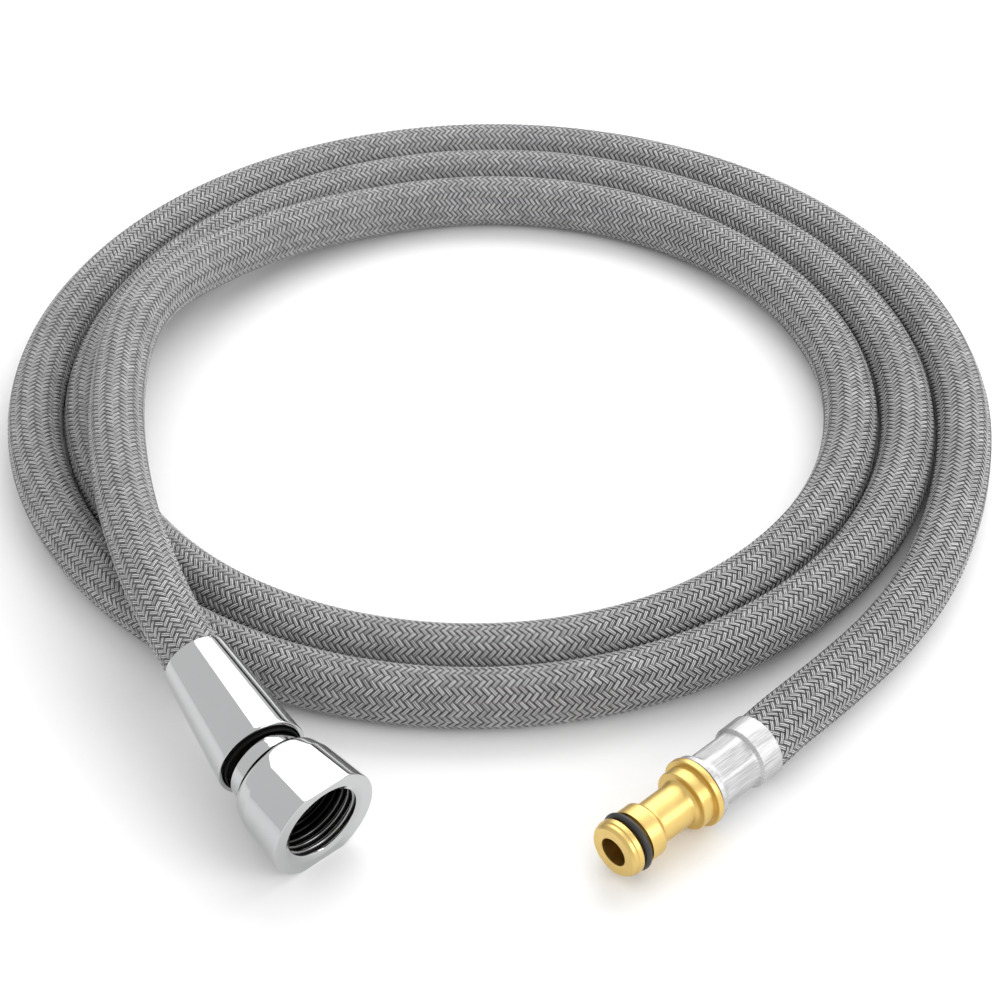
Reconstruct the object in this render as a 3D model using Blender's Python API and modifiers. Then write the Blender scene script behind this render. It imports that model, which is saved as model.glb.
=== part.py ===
"""Braided supply hose: a swivelling conical nut at one end, a push-in brass plug at the other.

The hose lies coiled on the ground plane z = 0, and the origin is under the middle of the whole outline.
The coil turns clockwise seen from above. Run with: blender --background --python part.py
"""
import math

import bmesh
import bpy
from mathutils import Matrix, Vector

MM = 0.001

# ---- driving dimensions, in metres -----------------------------------------------------------------
HOSE_OD = 14.6 * MM              # outside of the braid; every place in the plan is a multiple of it
JACKET_WALL = 1.0 * MM
LINER_OD = 12.0 * MM
LINER_WALL = 1.9 * MM
WATERWAY_RADIUS = 2.6 * MM       # bore through the ball stem
PLUG_BORE_RADIUS = 3.5 * MM      # bore through the push-in plug's nose

# ---- the plan, in hose diameters -------------------------------------------------------------------
PLAN_CENTRE = (-0.0285, -0.52)   # middle of the whole outline
COIL_CENTRE = (-0.286, 0.84)
COIL_START_RADIUS = 6.257
COIL_PITCH = 1.03                # how much wider each turn is than the one before
COIL_STEPS_PER_TURN = 22
COIL_FIRST_STEP = 5
COIL_LAST_STEP = 56
RESTING_HEIGHT = 0.5

SLEEVE_NARROW_END = (-4.82, -7.185, 1.252)
NUT_FACE_CENTRE = (-2.642, -10.259, 0.848)
NUT_AXIS = (0.668, -0.737, -0.106)         # out of the threaded mouth
# From the sleeve the hose climbs over two turns, rides on the inner one and sinks into the coil.
LEAD_IN = [
    (-5.22, -6.50, 1.38), (-5.60, -5.72, 1.50), (-5.94, -4.85, 1.56), (-6.24, -3.95, 1.57),
    (-6.49, -3.00, 1.58), (-6.68, -2.05, 1.56), (-6.82, -1.10, 1.51), (-6.90, -0.15, 1.45),
    (-6.92, 0.85, 1.42), (-6.83, 1.85, 1.38), (-6.58, 2.78, 1.29), (-6.19, 3.60, 1.16),
    (-5.69, 4.36, 1.01), (-5.08, 5.08, 0.88), (-4.39, 5.72, 0.77), (-3.62, 6.27, 0.67),
    (-2.82, 6.72, 0.58),
]
# From the coil's outer turn the hose runs forward and up a little into the plug's ferrule.
LEAD_OUT = [
    (7.80, -3.10, 0.50), (7.18, -4.50, 0.50), (6.37, -5.75, 0.50), (5.45, -6.82, 0.51),
    (4.95, -7.36, 0.54), (4.45, -7.90, 0.575),
]
PLUG_NOSE_CENTRE = (1.695, -10.58)
PLUG_AXIS = (-0.725, -0.688, 0.0)          # out of the plug's nose

# ---- the two ends, in metres along each end's own axis ---------------------------------------------
BALL_DEPTH = 18.5 * MM           # from the nut's face back to the centre of the ball
BALL_RADIUS = 6.4 * MM
BALL_CLEARANCE = 0.2 * MM
NECK_RADIUS = 4.2 * MM

NUT_LENGTH = 21.8 * MM
NUT_FACE_RADIUS = 13.9 * MM
NUT_SHOULDER_RADIUS = 12.75 * MM # where the straight cone ends and the rounded shoulder starts
NUT_SHOULDER_DEPTH = 12.6 * MM
NUT_FACE_FLATS = 24.9 * MM       # across the two spanner flats, at the face
NUT_FLAT_TAPER = 0.068           # how much nearer the axis a flat gets per unit of depth
THREAD_MINOR_RADIUS = 9.3 * MM   # G 1/2
THREAD_MOUTH_RADIUS = 10.7 * MM
CHAMBER_RADIUS = 8.05 * MM       # behind the thread, round the ball and its seats

SLEEVE_MOUTH = 4.75 * MM         # from the ball's centre back to the sleeve's wide rim
SLEEVE_WIDE_RADIUS = 10.94 * MM
SLEEVE_NARROW_RADIUS = 8.32 * MM
SLEEVE_WALL = 1.0 * MM
SLEEVE_NARROW_BORE = 7.65 * MM

HOSE_START = 13.0 * MM           # from the ball's centre back to the cut end of the hose
FLANGE_RADIUS = 8.51 * MM        # the plug's widest ring, which rests on the ground
HOSE_END_DEPTH = 43.2 * MM       # from the plug's nose back to the cut end of the braid
CRIMP_FLATS = 8
CRIMP_FLAT_RADIUS = 6.72 * MM    # from the ferrule's axis to each crimped flat

CHROME_SEGMENTS = 36             # round the nut and the sleeve
FINE_SEGMENTS = 28
COARSE_SEGMENTS = 20
TUBE_RESOLUTION = 3              # curve bevel resolution: ten sides


def clear_scene():
    for old in list(bpy.data.objects):
        bpy.data.objects.remove(old, do_unlink=True)


def new_collection(name):
    collection = bpy.data.collections.new(name)
    bpy.context.scene.collection.children.link(collection)
    return collection


def make_material(name, color, roughness, metallic):
    material = bpy.data.materials.new(name)
    material.use_nodes = True
    shader = material.node_tree.nodes["Principled BSDF"]
    shader.inputs["Base Color"].default_value = (*color, 1.0)
    shader.inputs["Roughness"].default_value = roughness
    shader.inputs["Metallic"].default_value = metallic
    return material


def plan_to_world(point):
    """A place in hose diameters, as metres from the origin."""
    x, y, z = point
    return Vector((x - PLAN_CENTRE[0], y - PLAN_CENTRE[1], z)) * HOSE_OD


def axis_frame(origin, axis):
    """Local +Z along the axis, local +Y as near to straight up as the axis allows."""
    z_axis = Vector(axis).normalized()
    x_axis = Vector((0.0, 0.0, 1.0)).cross(z_axis).normalized()
    y_axis = z_axis.cross(x_axis)
    frame = Matrix((x_axis, y_axis, z_axis)).transposed().to_4x4()
    frame.translation = origin
    return frame


def make_empty(name, frame, collection):
    empty = bpy.data.objects.new(name, None)
    empty.empty_display_size = HOSE_OD
    empty.matrix_world = frame
    collection.objects.link(empty)
    return empty


def link_part(obj, material, parent, collection):
    obj.data.materials.append(material)
    obj.parent = parent
    collection.objects.link(obj)
    return obj


def turned_part(name, profile, material, parent, collection, segments=FINE_SEGMENTS):
    """A closed outline of (radius, height) points, turned about the parent's Z axis.

    The outline starts on the outside at the top and runs down, then comes back up on the inside.
    """
    mesh = bpy.data.meshes.new(name)
    outline = bmesh.new()
    corners = [outline.verts.new((radius, 0.0, height)) for radius, height in profile]
    for index, corner in enumerate(corners):
        outline.edges.new((corner, corners[(index + 1) % len(corners)]))
    outline.to_mesh(mesh)
    outline.free()
    obj = link_part(bpy.data.objects.new(name, mesh), material, parent, collection)
    screw = obj.modifiers.new("turn", "SCREW")
    screw.steps = segments
    screw.render_steps = segments
    screw.merge_threshold = 0.01 * MM
    screw.use_smooth_shade = True
    return obj


def arc(centre_height, radius, start_degrees, end_degrees, steps):
    """Points on a circle round (0, centre_height); 90 degrees is straight up the axis."""
    points = []
    for step in range(steps + 1):
        angle = math.radians(start_degrees + (end_degrees - start_degrees) * step / steps)
        points.append((radius * math.cos(angle), centre_height + radius * math.sin(angle)))
    return points


def ring_section(centre_radius, centre_height, tube_radius, steps):
    """A round cross-section for an O-ring, from its outside clockwise."""
    points = []
    for step in range(steps):
        angle = -math.tau * step / steps
        points.append((centre_radius + tube_radius * math.cos(angle),
                       centre_height + tube_radius * math.sin(angle)))
    return points


def sphere_height(radius, distance):
    """Height on a sphere of that radius at that distance from its axis."""
    return math.sqrt(radius * radius - distance * distance)


def cut(obj, cutter, operation):
    boolean = obj.modifiers.new(operation.lower(), "BOOLEAN")
    boolean.object = cutter
    boolean.operation = operation
    boolean.solver = "EXACT"
    cutter.hide_render = True
    cutter.display_type = "WIRE"


def make_cutter(name, solid, parent, cutters):
    mesh = bpy.data.meshes.new(name)
    solid.to_mesh(mesh)
    solid.free()
    cutter = bpy.data.objects.new(name, mesh)
    cutter.parent = parent
    cutters.objects.link(cutter)
    return cutter


def block_cutter(name, size, place, parent, cutters, turn=0.0):
    """A box at a place on the parent's axes, then turned about the parent's Z axis."""
    solid = bmesh.new()
    bmesh.ops.create_cube(solid, size=1.0)
    bmesh.ops.scale(solid, verts=solid.verts, vec=size)
    bmesh.ops.translate(solid, verts=solid.verts, vec=place)
    turned = Matrix.Rotation(turn, 3, "Z")
    bmesh.ops.rotate(solid, verts=solid.verts, cent=(0.0, 0.0, 0.0), matrix=turned)
    return make_cutter(name, solid, parent, cutters)


# ---- the hose ---------------------------------------------------------------------------------------

def coil_points():
    points = []
    for step in range(COIL_FIRST_STEP, COIL_LAST_STEP + 1):
        turn = step / COIL_STEPS_PER_TURN
        radius = COIL_START_RADIUS + COIL_PITCH * turn
        points.append((COIL_CENTRE[0] - radius * math.cos(math.tau * turn),
                       COIL_CENTRE[1] + radius * math.sin(math.tau * turn),
                       RESTING_HEIGHT))
    return points


def hose_route(ball_centre, sleeve_axis, plug_frame):
    """Centre of the hose in metres, from inside the sleeve, round the coil, to inside the ferrule."""
    narrow_end = plan_to_world(SLEEVE_NARROW_END)
    start = ball_centre - sleeve_axis * HOSE_START
    route = [start, start.lerp(narrow_end, 0.5), narrow_end]
    route += [plan_to_world(point) for point in LEAD_IN + coil_points() + LEAD_OUT]
    for depth in (HOSE_END_DEPTH + 4.2 * MM, HOSE_END_DEPTH):
        route.append(plug_frame @ Vector((0.0, 0.0, -depth)))
    return route


def tube_part(name, route, radius, wall, material, collection):
    """A hollow tube along the route: an open bevelled curve, made a mesh and given a wall."""
    curve = bpy.data.curves.new(name + "_path", "CURVE")
    curve.dimensions = "3D"
    curve.bevel_depth = radius
    curve.bevel_resolution = TUBE_RESOLUTION
    curve.use_fill_caps = False
    spline = curve.splines.new("POLY")
    spline.points.add(len(route) - 1)
    for point, place in zip(spline.points, route):
        point.co = (*place, 1.0)
    path = bpy.data.objects.new(name + "_path", curve)
    collection.objects.link(path)
    evaluated = path.evaluated_get(bpy.context.evaluated_depsgraph_get())
    mesh = bpy.data.meshes.new_from_object(evaluated)
    bpy.data.objects.remove(path, do_unlink=True)
    mesh.materials.clear()
    obj = link_part(bpy.data.objects.new(name, mesh), material, None, collection)
    thickness = obj.modifiers.new("wall", "SOLIDIFY")
    thickness.thickness = wall
    thickness.offset = -1.0
    thickness.use_even_offset = True
    obj.data.shade_smooth()
    return obj


# ---- the swivelling end; heights are measured from the ball's centre, + towards the nut's mouth --------

def nut_flats_cutter(lowest, highest, parent, cutters):
    """A slab whose upper and lower faces are the nut's two flats, nearer together towards the rear."""
    solid = bmesh.new()
    bmesh.ops.create_cube(solid, size=2.0)
    for corner in solid.verts:
        height = highest if corner.co.z > 0.0 else lowest
        half_flats = NUT_FACE_FLATS / 2.0 + NUT_FLAT_TAPER * (height - BALL_DEPTH)
        corner.co = (corner.co.x * 2.0 * NUT_FACE_RADIUS, corner.co.y * half_flats, height)
    return make_cutter("nut_flats", solid, parent, cutters)


def make_nut(material, parent, parts, cutters):
    """Round conical nut with two spanner flats, a threaded mouth and a chamber for the ball."""
    face = BALL_DEPTH
    rear = BALL_DEPTH - NUT_LENGTH
    profile = [
        (THREAD_MOUTH_RADIUS, face),
        (NUT_FACE_RADIUS - 0.5 * MM, face),
        (NUT_FACE_RADIUS, face - 0.5 * MM),
        (NUT_SHOULDER_RADIUS, face - NUT_SHOULDER_DEPTH),
        (12.35 * MM, face - 14.5 * MM),
        (11.60 * MM, face - 16.3 * MM),
        (10.85 * MM, face - 17.5 * MM),
        (10.20 * MM, face - 17.97 * MM),
        (9.55 * MM, face - 19.3 * MM),
        (9.15 * MM, face - 20.8 * MM),
        (9.05 * MM, rear + 0.3 * MM),
        (8.80 * MM, rear),
        (7.30 * MM, rear),
        (7.30 * MM, rear + 0.9 * MM),
        (CHAMBER_RADIUS, rear + 0.9 * MM),
        (CHAMBER_RADIUS, face - 14.3 * MM),
        (THREAD_MINOR_RADIUS, face - 14.3 * MM),
        (THREAD_MINOR_RADIUS, face - 1.4 * MM),
    ]
    nut = turned_part("swivel_nut", profile, material, parent, parts, CHROME_SEGMENTS)
    flats = nut_flats_cutter(rear - 2.0 * MM, face + 2.0 * MM, parent, cutters)
    cut(nut, flats, "INTERSECT")
    return nut


def make_nut_washer(material, parent, parts):
    """Flat rubber washer at the bottom of the thread."""
    top = BALL_DEPTH - 10.2 * MM
    bottom = BALL_DEPTH - 12.0 * MM
    profile = [(9.0 * MM, top), (9.0 * MM, bottom), (5.2 * MM, bottom), (5.2 * MM, top)]
    return turned_part("nut_washer", profile, material, parent, parts, COARSE_SEGMENTS)


def make_ball_seat(material, parent, parts):
    """Flanged front seat: a hollow sphere in front of the ball, with a groove for the ball's seal."""
    seat_radius = BALL_RADIUS + BALL_CLEARANCE
    front = BALL_DEPTH - 12.3 * MM
    bore = 3.7 * MM
    profile = [
        (9.0 * MM, front), (9.0 * MM, front - 1.5 * MM), (7.8 * MM, front - 1.5 * MM),
        (7.8 * MM, 0.3 * MM),
    ]
    start = math.degrees(math.asin(0.3 * MM / seat_radius))
    end = math.degrees(math.acos(bore / seat_radius))
    profile += arc(0.0, seat_radius, start, 26.0, 3)
    profile += [(6.9 * MM, 2.9 * MM), (6.9 * MM, 4.3 * MM)]
    profile += arc(0.0, seat_radius, 41.0, end, 2)
    profile.append((bore, front))
    return turned_part("ball_seat_ring", profile, material, parent, parts)


def make_ball_seal(material, parent, parts):
    """O-ring in the front seat's groove, just clear of the ball."""
    section = ring_section(6.12 * MM, 3.6 * MM, 0.5 * MM, 8)
    return turned_part("ball_o_ring", section, material, parent, parts, COARSE_SEGMENTS)


def make_rear_bearing(material, parent, parts):
    """Rear seat: closes behind the ball's widest part, so the ball can't pull out."""
    seat_radius = BALL_RADIUS + BALL_CLEARANCE
    bottom = BALL_DEPTH - NUT_LENGTH + 1.1 * MM
    end = math.degrees(math.asin(bottom / seat_radius))
    profile = [(7.8 * MM, 0.0), (7.8 * MM, bottom)]
    profile += arc(0.0, seat_radius, end, 0.0, 4)
    return turned_part("rear_bearing_ring", profile, material, parent, parts)


def make_ball_stem(material, parent, parts):
    """Brass stem: bored ball, neck, grooved shoulder and barbed tail inside the hose."""
    opening = 3.3 * MM
    start = math.degrees(math.acos(opening / BALL_RADIUS))
    end = math.degrees(math.acos(NECK_RADIUS / BALL_RADIUS))
    profile = [(opening, sphere_height(BALL_RADIUS, opening))]
    profile += arc(0.0, BALL_RADIUS, start, -end, 12)[1:]
    profile += [
        (NECK_RADIUS, -8.6 * MM), (7.2 * MM, -9.2 * MM), (7.2 * MM, -9.8 * MM), (6.5 * MM, -9.8 * MM),
        (6.5 * MM, -11.2 * MM), (7.2 * MM, -11.2 * MM), (7.2 * MM, -11.9 * MM), (3.4 * MM, -11.9 * MM),
    ]
    for barb in range(3):
        root = -15.0 * MM - barb * 2.6 * MM
        profile += [(3.4 * MM, root), (3.75 * MM, root), (3.4 * MM, root - 2.0 * MM)]
    profile += [(3.1 * MM, -23.0 * MM), (WATERWAY_RADIUS, -23.0 * MM),
                (WATERWAY_RADIUS, sphere_height(BALL_RADIUS, opening) - 0.7 * MM)]
    return turned_part("ball_stem", profile, material, parent, parts)


def make_spray_ferrule(material, parent, parts):
    """Crimped cup that clamps the hose behind the stem's shoulder."""
    profile = [
        (8.1 * MM, -12.2 * MM), (8.2 * MM, -12.5 * MM), (8.2 * MM, -22.0 * MM), (7.6 * MM, -22.0 * MM),
        (7.6 * MM, -12.7 * MM), (3.7 * MM, -12.7 * MM), (3.7 * MM, -12.2 * MM),
    ]
    return turned_part("spray_end_ferrule", profile, material, parent, parts, COARSE_SEGMENTS)


def sleeve_outer_radius(depth):
    length = sleeve_length()
    share = (depth - SLEEVE_MOUTH) / (length - SLEEVE_MOUTH)
    return SLEEVE_WIDE_RADIUS + (SLEEVE_NARROW_RADIUS - SLEEVE_WIDE_RADIUS) * share


def sleeve_length():
    """From the ball's centre to the sleeve's narrow end."""
    face = Vector(NUT_FACE_CENTRE) * HOSE_OD
    ball = face - Vector(NUT_AXIS).normalized() * BALL_DEPTH
    return (Vector(SLEEVE_NARROW_END) * HOSE_OD - ball).length


def make_sleeve(material, parent, parts):
    """Tapered cover over the ferrule, with small rounded rims."""
    end = sleeve_length()
    rim = 0.3 * MM
    wide_bore = SLEEVE_WIDE_RADIUS - SLEEVE_WALL - 0.15 * MM
    profile = [
        (SLEEVE_WIDE_RADIUS - 0.35 * MM, -SLEEVE_MOUTH),
        (SLEEVE_WIDE_RADIUS, -SLEEVE_MOUTH - rim),
        (SLEEVE_NARROW_RADIUS, -end + rim),
        (SLEEVE_NARROW_RADIUS - 0.2 * MM, -end),
        (SLEEVE_NARROW_BORE, -end),
        (SLEEVE_NARROW_BORE, -end + 4.0 * MM),
        (sleeve_outer_radius(22.5 * MM) - SLEEVE_WALL + 0.3 * MM, -22.5 * MM),
        (wide_bore, -SLEEVE_MOUTH - 5.0 * MM),
        (wide_bore, -SLEEVE_MOUTH),
    ]
    return turned_part("tapered_sleeve", profile, material, parent, parts, CHROME_SEGMENTS)


def make_neck_ring(material, parent, parts):
    """Black ring in the sleeve's mouth; its inner face is where the nut's rear rim stops."""
    stop = -5.45 * MM
    profile = [
        (9.5 * MM, -3.9 * MM), (9.5 * MM, -8.2 * MM), (5.0 * MM, -8.2 * MM), (5.0 * MM, stop),
        (8.7 * MM, stop), (9.2 * MM, -3.9 * MM),
    ]
    return turned_part("neck_ring", profile, material, parent, parts)


def make_snap_ring(material, parent, parts, cutters):
    """Split ring in the stem's groove that keeps the sleeve on."""
    profile = [(8.9 * MM, -10.0 * MM), (8.9 * MM, -11.0 * MM), (6.8 * MM, -11.0 * MM),
               (6.8 * MM, -10.0 * MM)]
    ring = turned_part("sleeve_snap_ring", profile, material, parent, parts, COARSE_SEGMENTS)
    gap = block_cutter("snap_ring_gap", (2.0 * MM, 6.0 * MM, 4.0 * MM), (0.0, -8.0 * MM, -10.5 * MM),
                       parent, cutters)
    cut(ring, gap, "DIFFERENCE")
    return ring


# ---- the push-in end; heights are measured from the plug's nose, - towards the hose -----------------------

def make_plug(material, parent, parts):
    """Brass plug: chamfered nose, seal groove, land, waisted neck, collar, flange and barbed tail."""
    profile = [
        (6.1 * MM, 0.0), (6.86 * MM, -0.8 * MM), (6.86 * MM, -3.0 * MM), (5.5 * MM, -3.0 * MM),
        (5.5 * MM, -6.2 * MM), (6.57 * MM, -6.2 * MM), (6.57 * MM, -9.9 * MM), (6.1 * MM, -10.6 * MM),
        (5.6 * MM, -11.0 * MM), (5.26 * MM, -12.0 * MM), (5.26 * MM, -20.6 * MM), (5.6 * MM, -21.5 * MM),
        (6.9 * MM, -21.8 * MM), (7.3 * MM, -22.2 * MM), (7.3 * MM, -25.3 * MM), (8.2 * MM, -25.3 * MM),
        (FLANGE_RADIUS, -25.6 * MM), (FLANGE_RADIUS, -26.6 * MM), (8.2 * MM, -26.9 * MM),
        (3.2 * MM, -26.9 * MM),
    ]
    for barb in range(3):
        root = -31.5 * MM - barb * 2.8 * MM
        profile += [(3.2 * MM, root), (3.75 * MM, root), (3.2 * MM, root - 2.2 * MM)]
    profile += [(3.0 * MM, -41.0 * MM), (2.4 * MM, -41.0 * MM), (2.4 * MM, -14.0 * MM),
                (PLUG_BORE_RADIUS, -13.0 * MM), (PLUG_BORE_RADIUS, 0.0)]
    return turned_part("quick_connect_plug", profile, material, parent, parts)


def make_plug_seal(material, parent, parts):
    section = ring_section(6.53 * MM, -4.62 * MM, 0.72 * MM, 10)
    return turned_part("plug_o_ring", section, material, parent, parts)


def make_valve_ferrule(material, parent, parts, cutters):
    """Aluminium ferrule: lip ring, crimped body with eight flats, and a collar round the hose."""
    profile = [
        (7.7 * MM, -27.3 * MM), (8.03 * MM, -27.6 * MM), (8.03 * MM, -28.7 * MM), (7.3 * MM, -29.3 * MM),
        (6.95 * MM, -30.0 * MM), (6.95 * MM, -40.0 * MM), (7.5 * MM, -41.2 * MM), (7.82 * MM, -41.9 * MM),
        (7.82 * MM, -46.8 * MM), (7.6 * MM, -47.2 * MM), (7.5 * MM, -47.2 * MM), (7.5 * MM, -42.6 * MM),
        (6.3 * MM, -40.6 * MM), (6.3 * MM, -28.3 * MM), (3.6 * MM, -28.3 * MM), (3.6 * MM, -27.3 * MM),
    ]
    ferrule = turned_part("valve_end_ferrule", profile, material, parent, parts)
    thickness = 2.0 * MM
    for face in range(CRIMP_FLATS):
        flat = block_cutter("crimp_flat_%d" % (face + 1), (thickness, 8.0 * MM, 9.6 * MM),
                            (CRIMP_FLAT_RADIUS + thickness / 2.0, 0.0, -35.0 * MM), parent, cutters,
                            turn=math.tau * (face + 0.5) / CRIMP_FLATS)
        cut(ferrule, flat, "DIFFERENCE")
    return ferrule


def main():
    clear_scene()
    parts = new_collection("braided_supply_hose")
    cutters = new_collection("cutters")

    chrome = make_material("chrome_plate", (0.80, 0.80, 0.81), 0.06, 1.0)
    brass = make_material("machined_brass", (0.78, 0.58, 0.22), 0.28, 1.0)
    aluminium = make_material("crimped_aluminium", (0.72, 0.72, 0.74), 0.35, 1.0)
    braid = make_material("grey_braid", (0.20, 0.20, 0.20), 0.60, 0.0)
    liner = make_material("liner_tube", (0.75, 0.76, 0.76), 0.45, 0.0)
    rubber = make_material("black_rubber", (0.03, 0.03, 0.03), 0.60, 0.0)
    acetal = make_material("black_acetal", (0.02, 0.02, 0.02), 0.40, 0.0)
    steel = make_material("spring_steel", (0.55, 0.55, 0.56), 0.30, 1.0)

    nut_axis = Vector(NUT_AXIS).normalized()
    ball_centre = plan_to_world(NUT_FACE_CENTRE) - nut_axis * BALL_DEPTH
    sleeve_axis = (ball_centre - plan_to_world(SLEEVE_NARROW_END)).normalized()
    nose = (*PLUG_NOSE_CENTRE, FLANGE_RADIUS / HOSE_OD)
    nut_frame = make_empty("nut_axis", axis_frame(ball_centre, nut_axis), parts)
    sleeve_frame = make_empty("sleeve_axis", axis_frame(ball_centre, sleeve_axis), parts)
    plug_frame = make_empty("plug_axis", axis_frame(plan_to_world(nose), PLUG_AXIS), parts)

    make_nut(chrome, nut_frame, parts, cutters)
    make_nut_washer(rubber, nut_frame, parts)
    make_ball_seat(acetal, nut_frame, parts)
    make_ball_seal(rubber, nut_frame, parts)
    make_rear_bearing(acetal, nut_frame, parts)

    make_ball_stem(brass, sleeve_frame, parts)
    make_spray_ferrule(aluminium, sleeve_frame, parts)
    make_sleeve(chrome, sleeve_frame, parts)
    make_neck_ring(acetal, sleeve_frame, parts)
    make_snap_ring(steel, sleeve_frame, parts, cutters)

    make_plug(brass, plug_frame, parts)
    make_plug_seal(rubber, plug_frame, parts)
    make_valve_ferrule(aluminium, plug_frame, parts, cutters)

    bpy.context.view_layer.update()
    route = hose_route(ball_centre, sleeve_axis, plug_frame.matrix_world)
    tube_part("braid_jacket", route, HOSE_OD / 2.0, JACKET_WALL, braid, parts)
    tube_part("inner_tube", route, LINER_OD / 2.0, LINER_WALL, liner, parts)


main()
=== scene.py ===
"""Looks of the braided supply hose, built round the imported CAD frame."""
import math

import bpy
import numpy as np
from mathutils import Matrix, Vector


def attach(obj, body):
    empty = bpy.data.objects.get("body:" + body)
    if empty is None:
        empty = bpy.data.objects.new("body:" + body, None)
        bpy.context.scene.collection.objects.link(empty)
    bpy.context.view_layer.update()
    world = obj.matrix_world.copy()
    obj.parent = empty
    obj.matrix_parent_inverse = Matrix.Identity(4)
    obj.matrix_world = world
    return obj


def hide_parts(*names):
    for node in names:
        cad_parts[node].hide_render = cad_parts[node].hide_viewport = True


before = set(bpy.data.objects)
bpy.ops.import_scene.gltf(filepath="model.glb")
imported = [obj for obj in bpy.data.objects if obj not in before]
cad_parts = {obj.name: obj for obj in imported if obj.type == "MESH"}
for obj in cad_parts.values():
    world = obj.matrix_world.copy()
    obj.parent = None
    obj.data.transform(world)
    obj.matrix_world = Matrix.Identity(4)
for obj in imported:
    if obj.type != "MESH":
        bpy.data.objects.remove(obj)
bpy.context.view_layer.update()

MM = 0.001

# ---- sizes and places, as in the CAD model -------------------------------------------------------
HOSE_OD = 14.6 * MM
PLAN_CENTRE = (-0.0285, -0.52)       # places in the plan are in hose diameters
COIL_CENTRE = (-0.286, 0.84)
COIL_START_RADIUS = 6.257
COIL_PITCH = 1.03                    # how much wider each turn is than the one before
COIL_STEPS_PER_TURN = 22
COIL_FIRST_STEP = 5
COIL_LAST_STEP = 56
RESTING_HEIGHT = 0.5                 # of the hose's middle, where it lies on the floor
SLEEVE_NARROW_END = (-4.82, -7.185, 1.252)
NUT_FACE_CENTRE = (-2.642, -10.259, 0.848)
NUT_AXIS = (0.668, -0.737, -0.106)
LEAD_IN = [                          # from the sleeve to the coil, chosen one by one
    (-5.22, -6.50, 1.38), (-5.60, -5.72, 1.50), (-5.94, -4.85, 1.56), (-6.24, -3.95, 1.57),
    (-6.49, -3.00, 1.58), (-6.68, -2.05, 1.56), (-6.82, -1.10, 1.51), (-6.90, -0.15, 1.45),
    (-6.92, 0.85, 1.42), (-6.83, 1.85, 1.38), (-6.58, 2.78, 1.29), (-6.19, 3.60, 1.16),
    (-5.69, 4.36, 1.01), (-5.08, 5.08, 0.88), (-4.39, 5.72, 0.77), (-3.62, 6.27, 0.67),
    (-2.82, 6.72, 0.58),
]
LEAD_OUT = [                         # from the coil to the plug
    (7.80, -3.10, 0.50), (7.18, -4.50, 0.50), (6.37, -5.75, 0.50), (5.45, -6.82, 0.51),
    (4.95, -7.36, 0.54), (4.45, -7.90, 0.575),
]
PLUG_NOSE_CENTRE = (1.695, -10.58)
PLUG_AXIS = (-0.725, -0.688, 0.0)
BALL_DEPTH = 18.5 * MM               # from the nut's face back to the centre of the ball
HOSE_START = 13.0 * MM               # from the ball's centre back to the cut end of the hose
FLANGE_RADIUS = 8.51 * MM            # the plug's widest ring, which rests on the floor
HOSE_END_DEPTH = 43.2 * MM           # from the plug's nose back to the cut end of the braid
HOSE_END_STRAIGHT = 4.2 * MM         # the hose's last stretch, in line with the plug
ROUTE_SPACING = 0.8 * MM             # between the points that the braid follows
STEPS_BETWEEN_POINTS = 24            # of the cubic, before it is spaced evenly

# ---- the braid -----------------------------------------------------------------------------------
BRAID_COLUMNS = 48                   # crossings round the hose
BRAID_PITCH = 0.116 * HOSE_OD        # along the hose, from one crossing to the next in a column
FILAMENTS = 3.0                      # filament bundles across one yarn
PAINTED_GAP_SHADE = (0.004, 0.004, 0.004, 1.0)         # painted shade: colour in the gaps between yarns and at the float ends
BRAID_PAINTED_SHADE = (0.030, 0.030, 0.031, 1.0)       # painted shade between filaments
BRAID_PAINTED_HIGHLIGHT = (0.80, 0.80, 0.802, 1.0)         # painted highlight along a filament's crest
BRAID_LEVEL = 0.34                   # where the yarn's average tone lies from painted shade to painted highlight
FILAMENT_GLINT = 0.44                # how much lighter a painted highlight makes a filament's crest, on that scale
YARN_RISE = 3.2                      # heights in the bump, as shares of BUMP_HEIGHT
FILAMENT_RISE = 0.55
BUMP_HEIGHT = 0.08 * MM
RIBBON_CROWN = 0.24 * MM             # how far a yarn's middle stands above its edges
CELL_SPLITS = 3                      # quads along each side of a crossing
DIP_WIDTH = 0.17                     # share of a crossing's side taken by the dip at its edge
FLOAT_END_HEIGHT = 0.62              # of the crown, where a yarn starts to dive
FLOAT_NAMES = 960                    # a float's number repeats after this many, far down the hose
LANE_SPREAD = 97.0                   # sets the filament numbers of different floats apart

# ---- the view ------------------------------------------------------------------------------------
CAMERA_PLACE = (0.0, -34.709, 27.867)
CAMERA_PITCH_DOWN = 40.16            # degrees
CAMERA_LENS = 86.45                  # millimetres, on a 36 mm sensor


def plan_to_world(point):
    """A place in the plan, in hose diameters, as a place in the frame, in metres."""
    x, y, z = point
    return Vector((x - PLAN_CENTRE[0], y - PLAN_CENTRE[1], z)) * HOSE_OD


def axis_frame(origin, axis):
    """Local +Z along the axis, local +Y as near to straight up as the axis allows."""
    z_axis = Vector(axis).normalized()
    x_axis = Vector((0.0, 0.0, 1.0)).cross(z_axis).normalized()
    y_axis = z_axis.cross(x_axis)
    placed = Matrix((x_axis, y_axis, z_axis)).transposed().to_4x4()
    placed.translation = origin
    return placed


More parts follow.
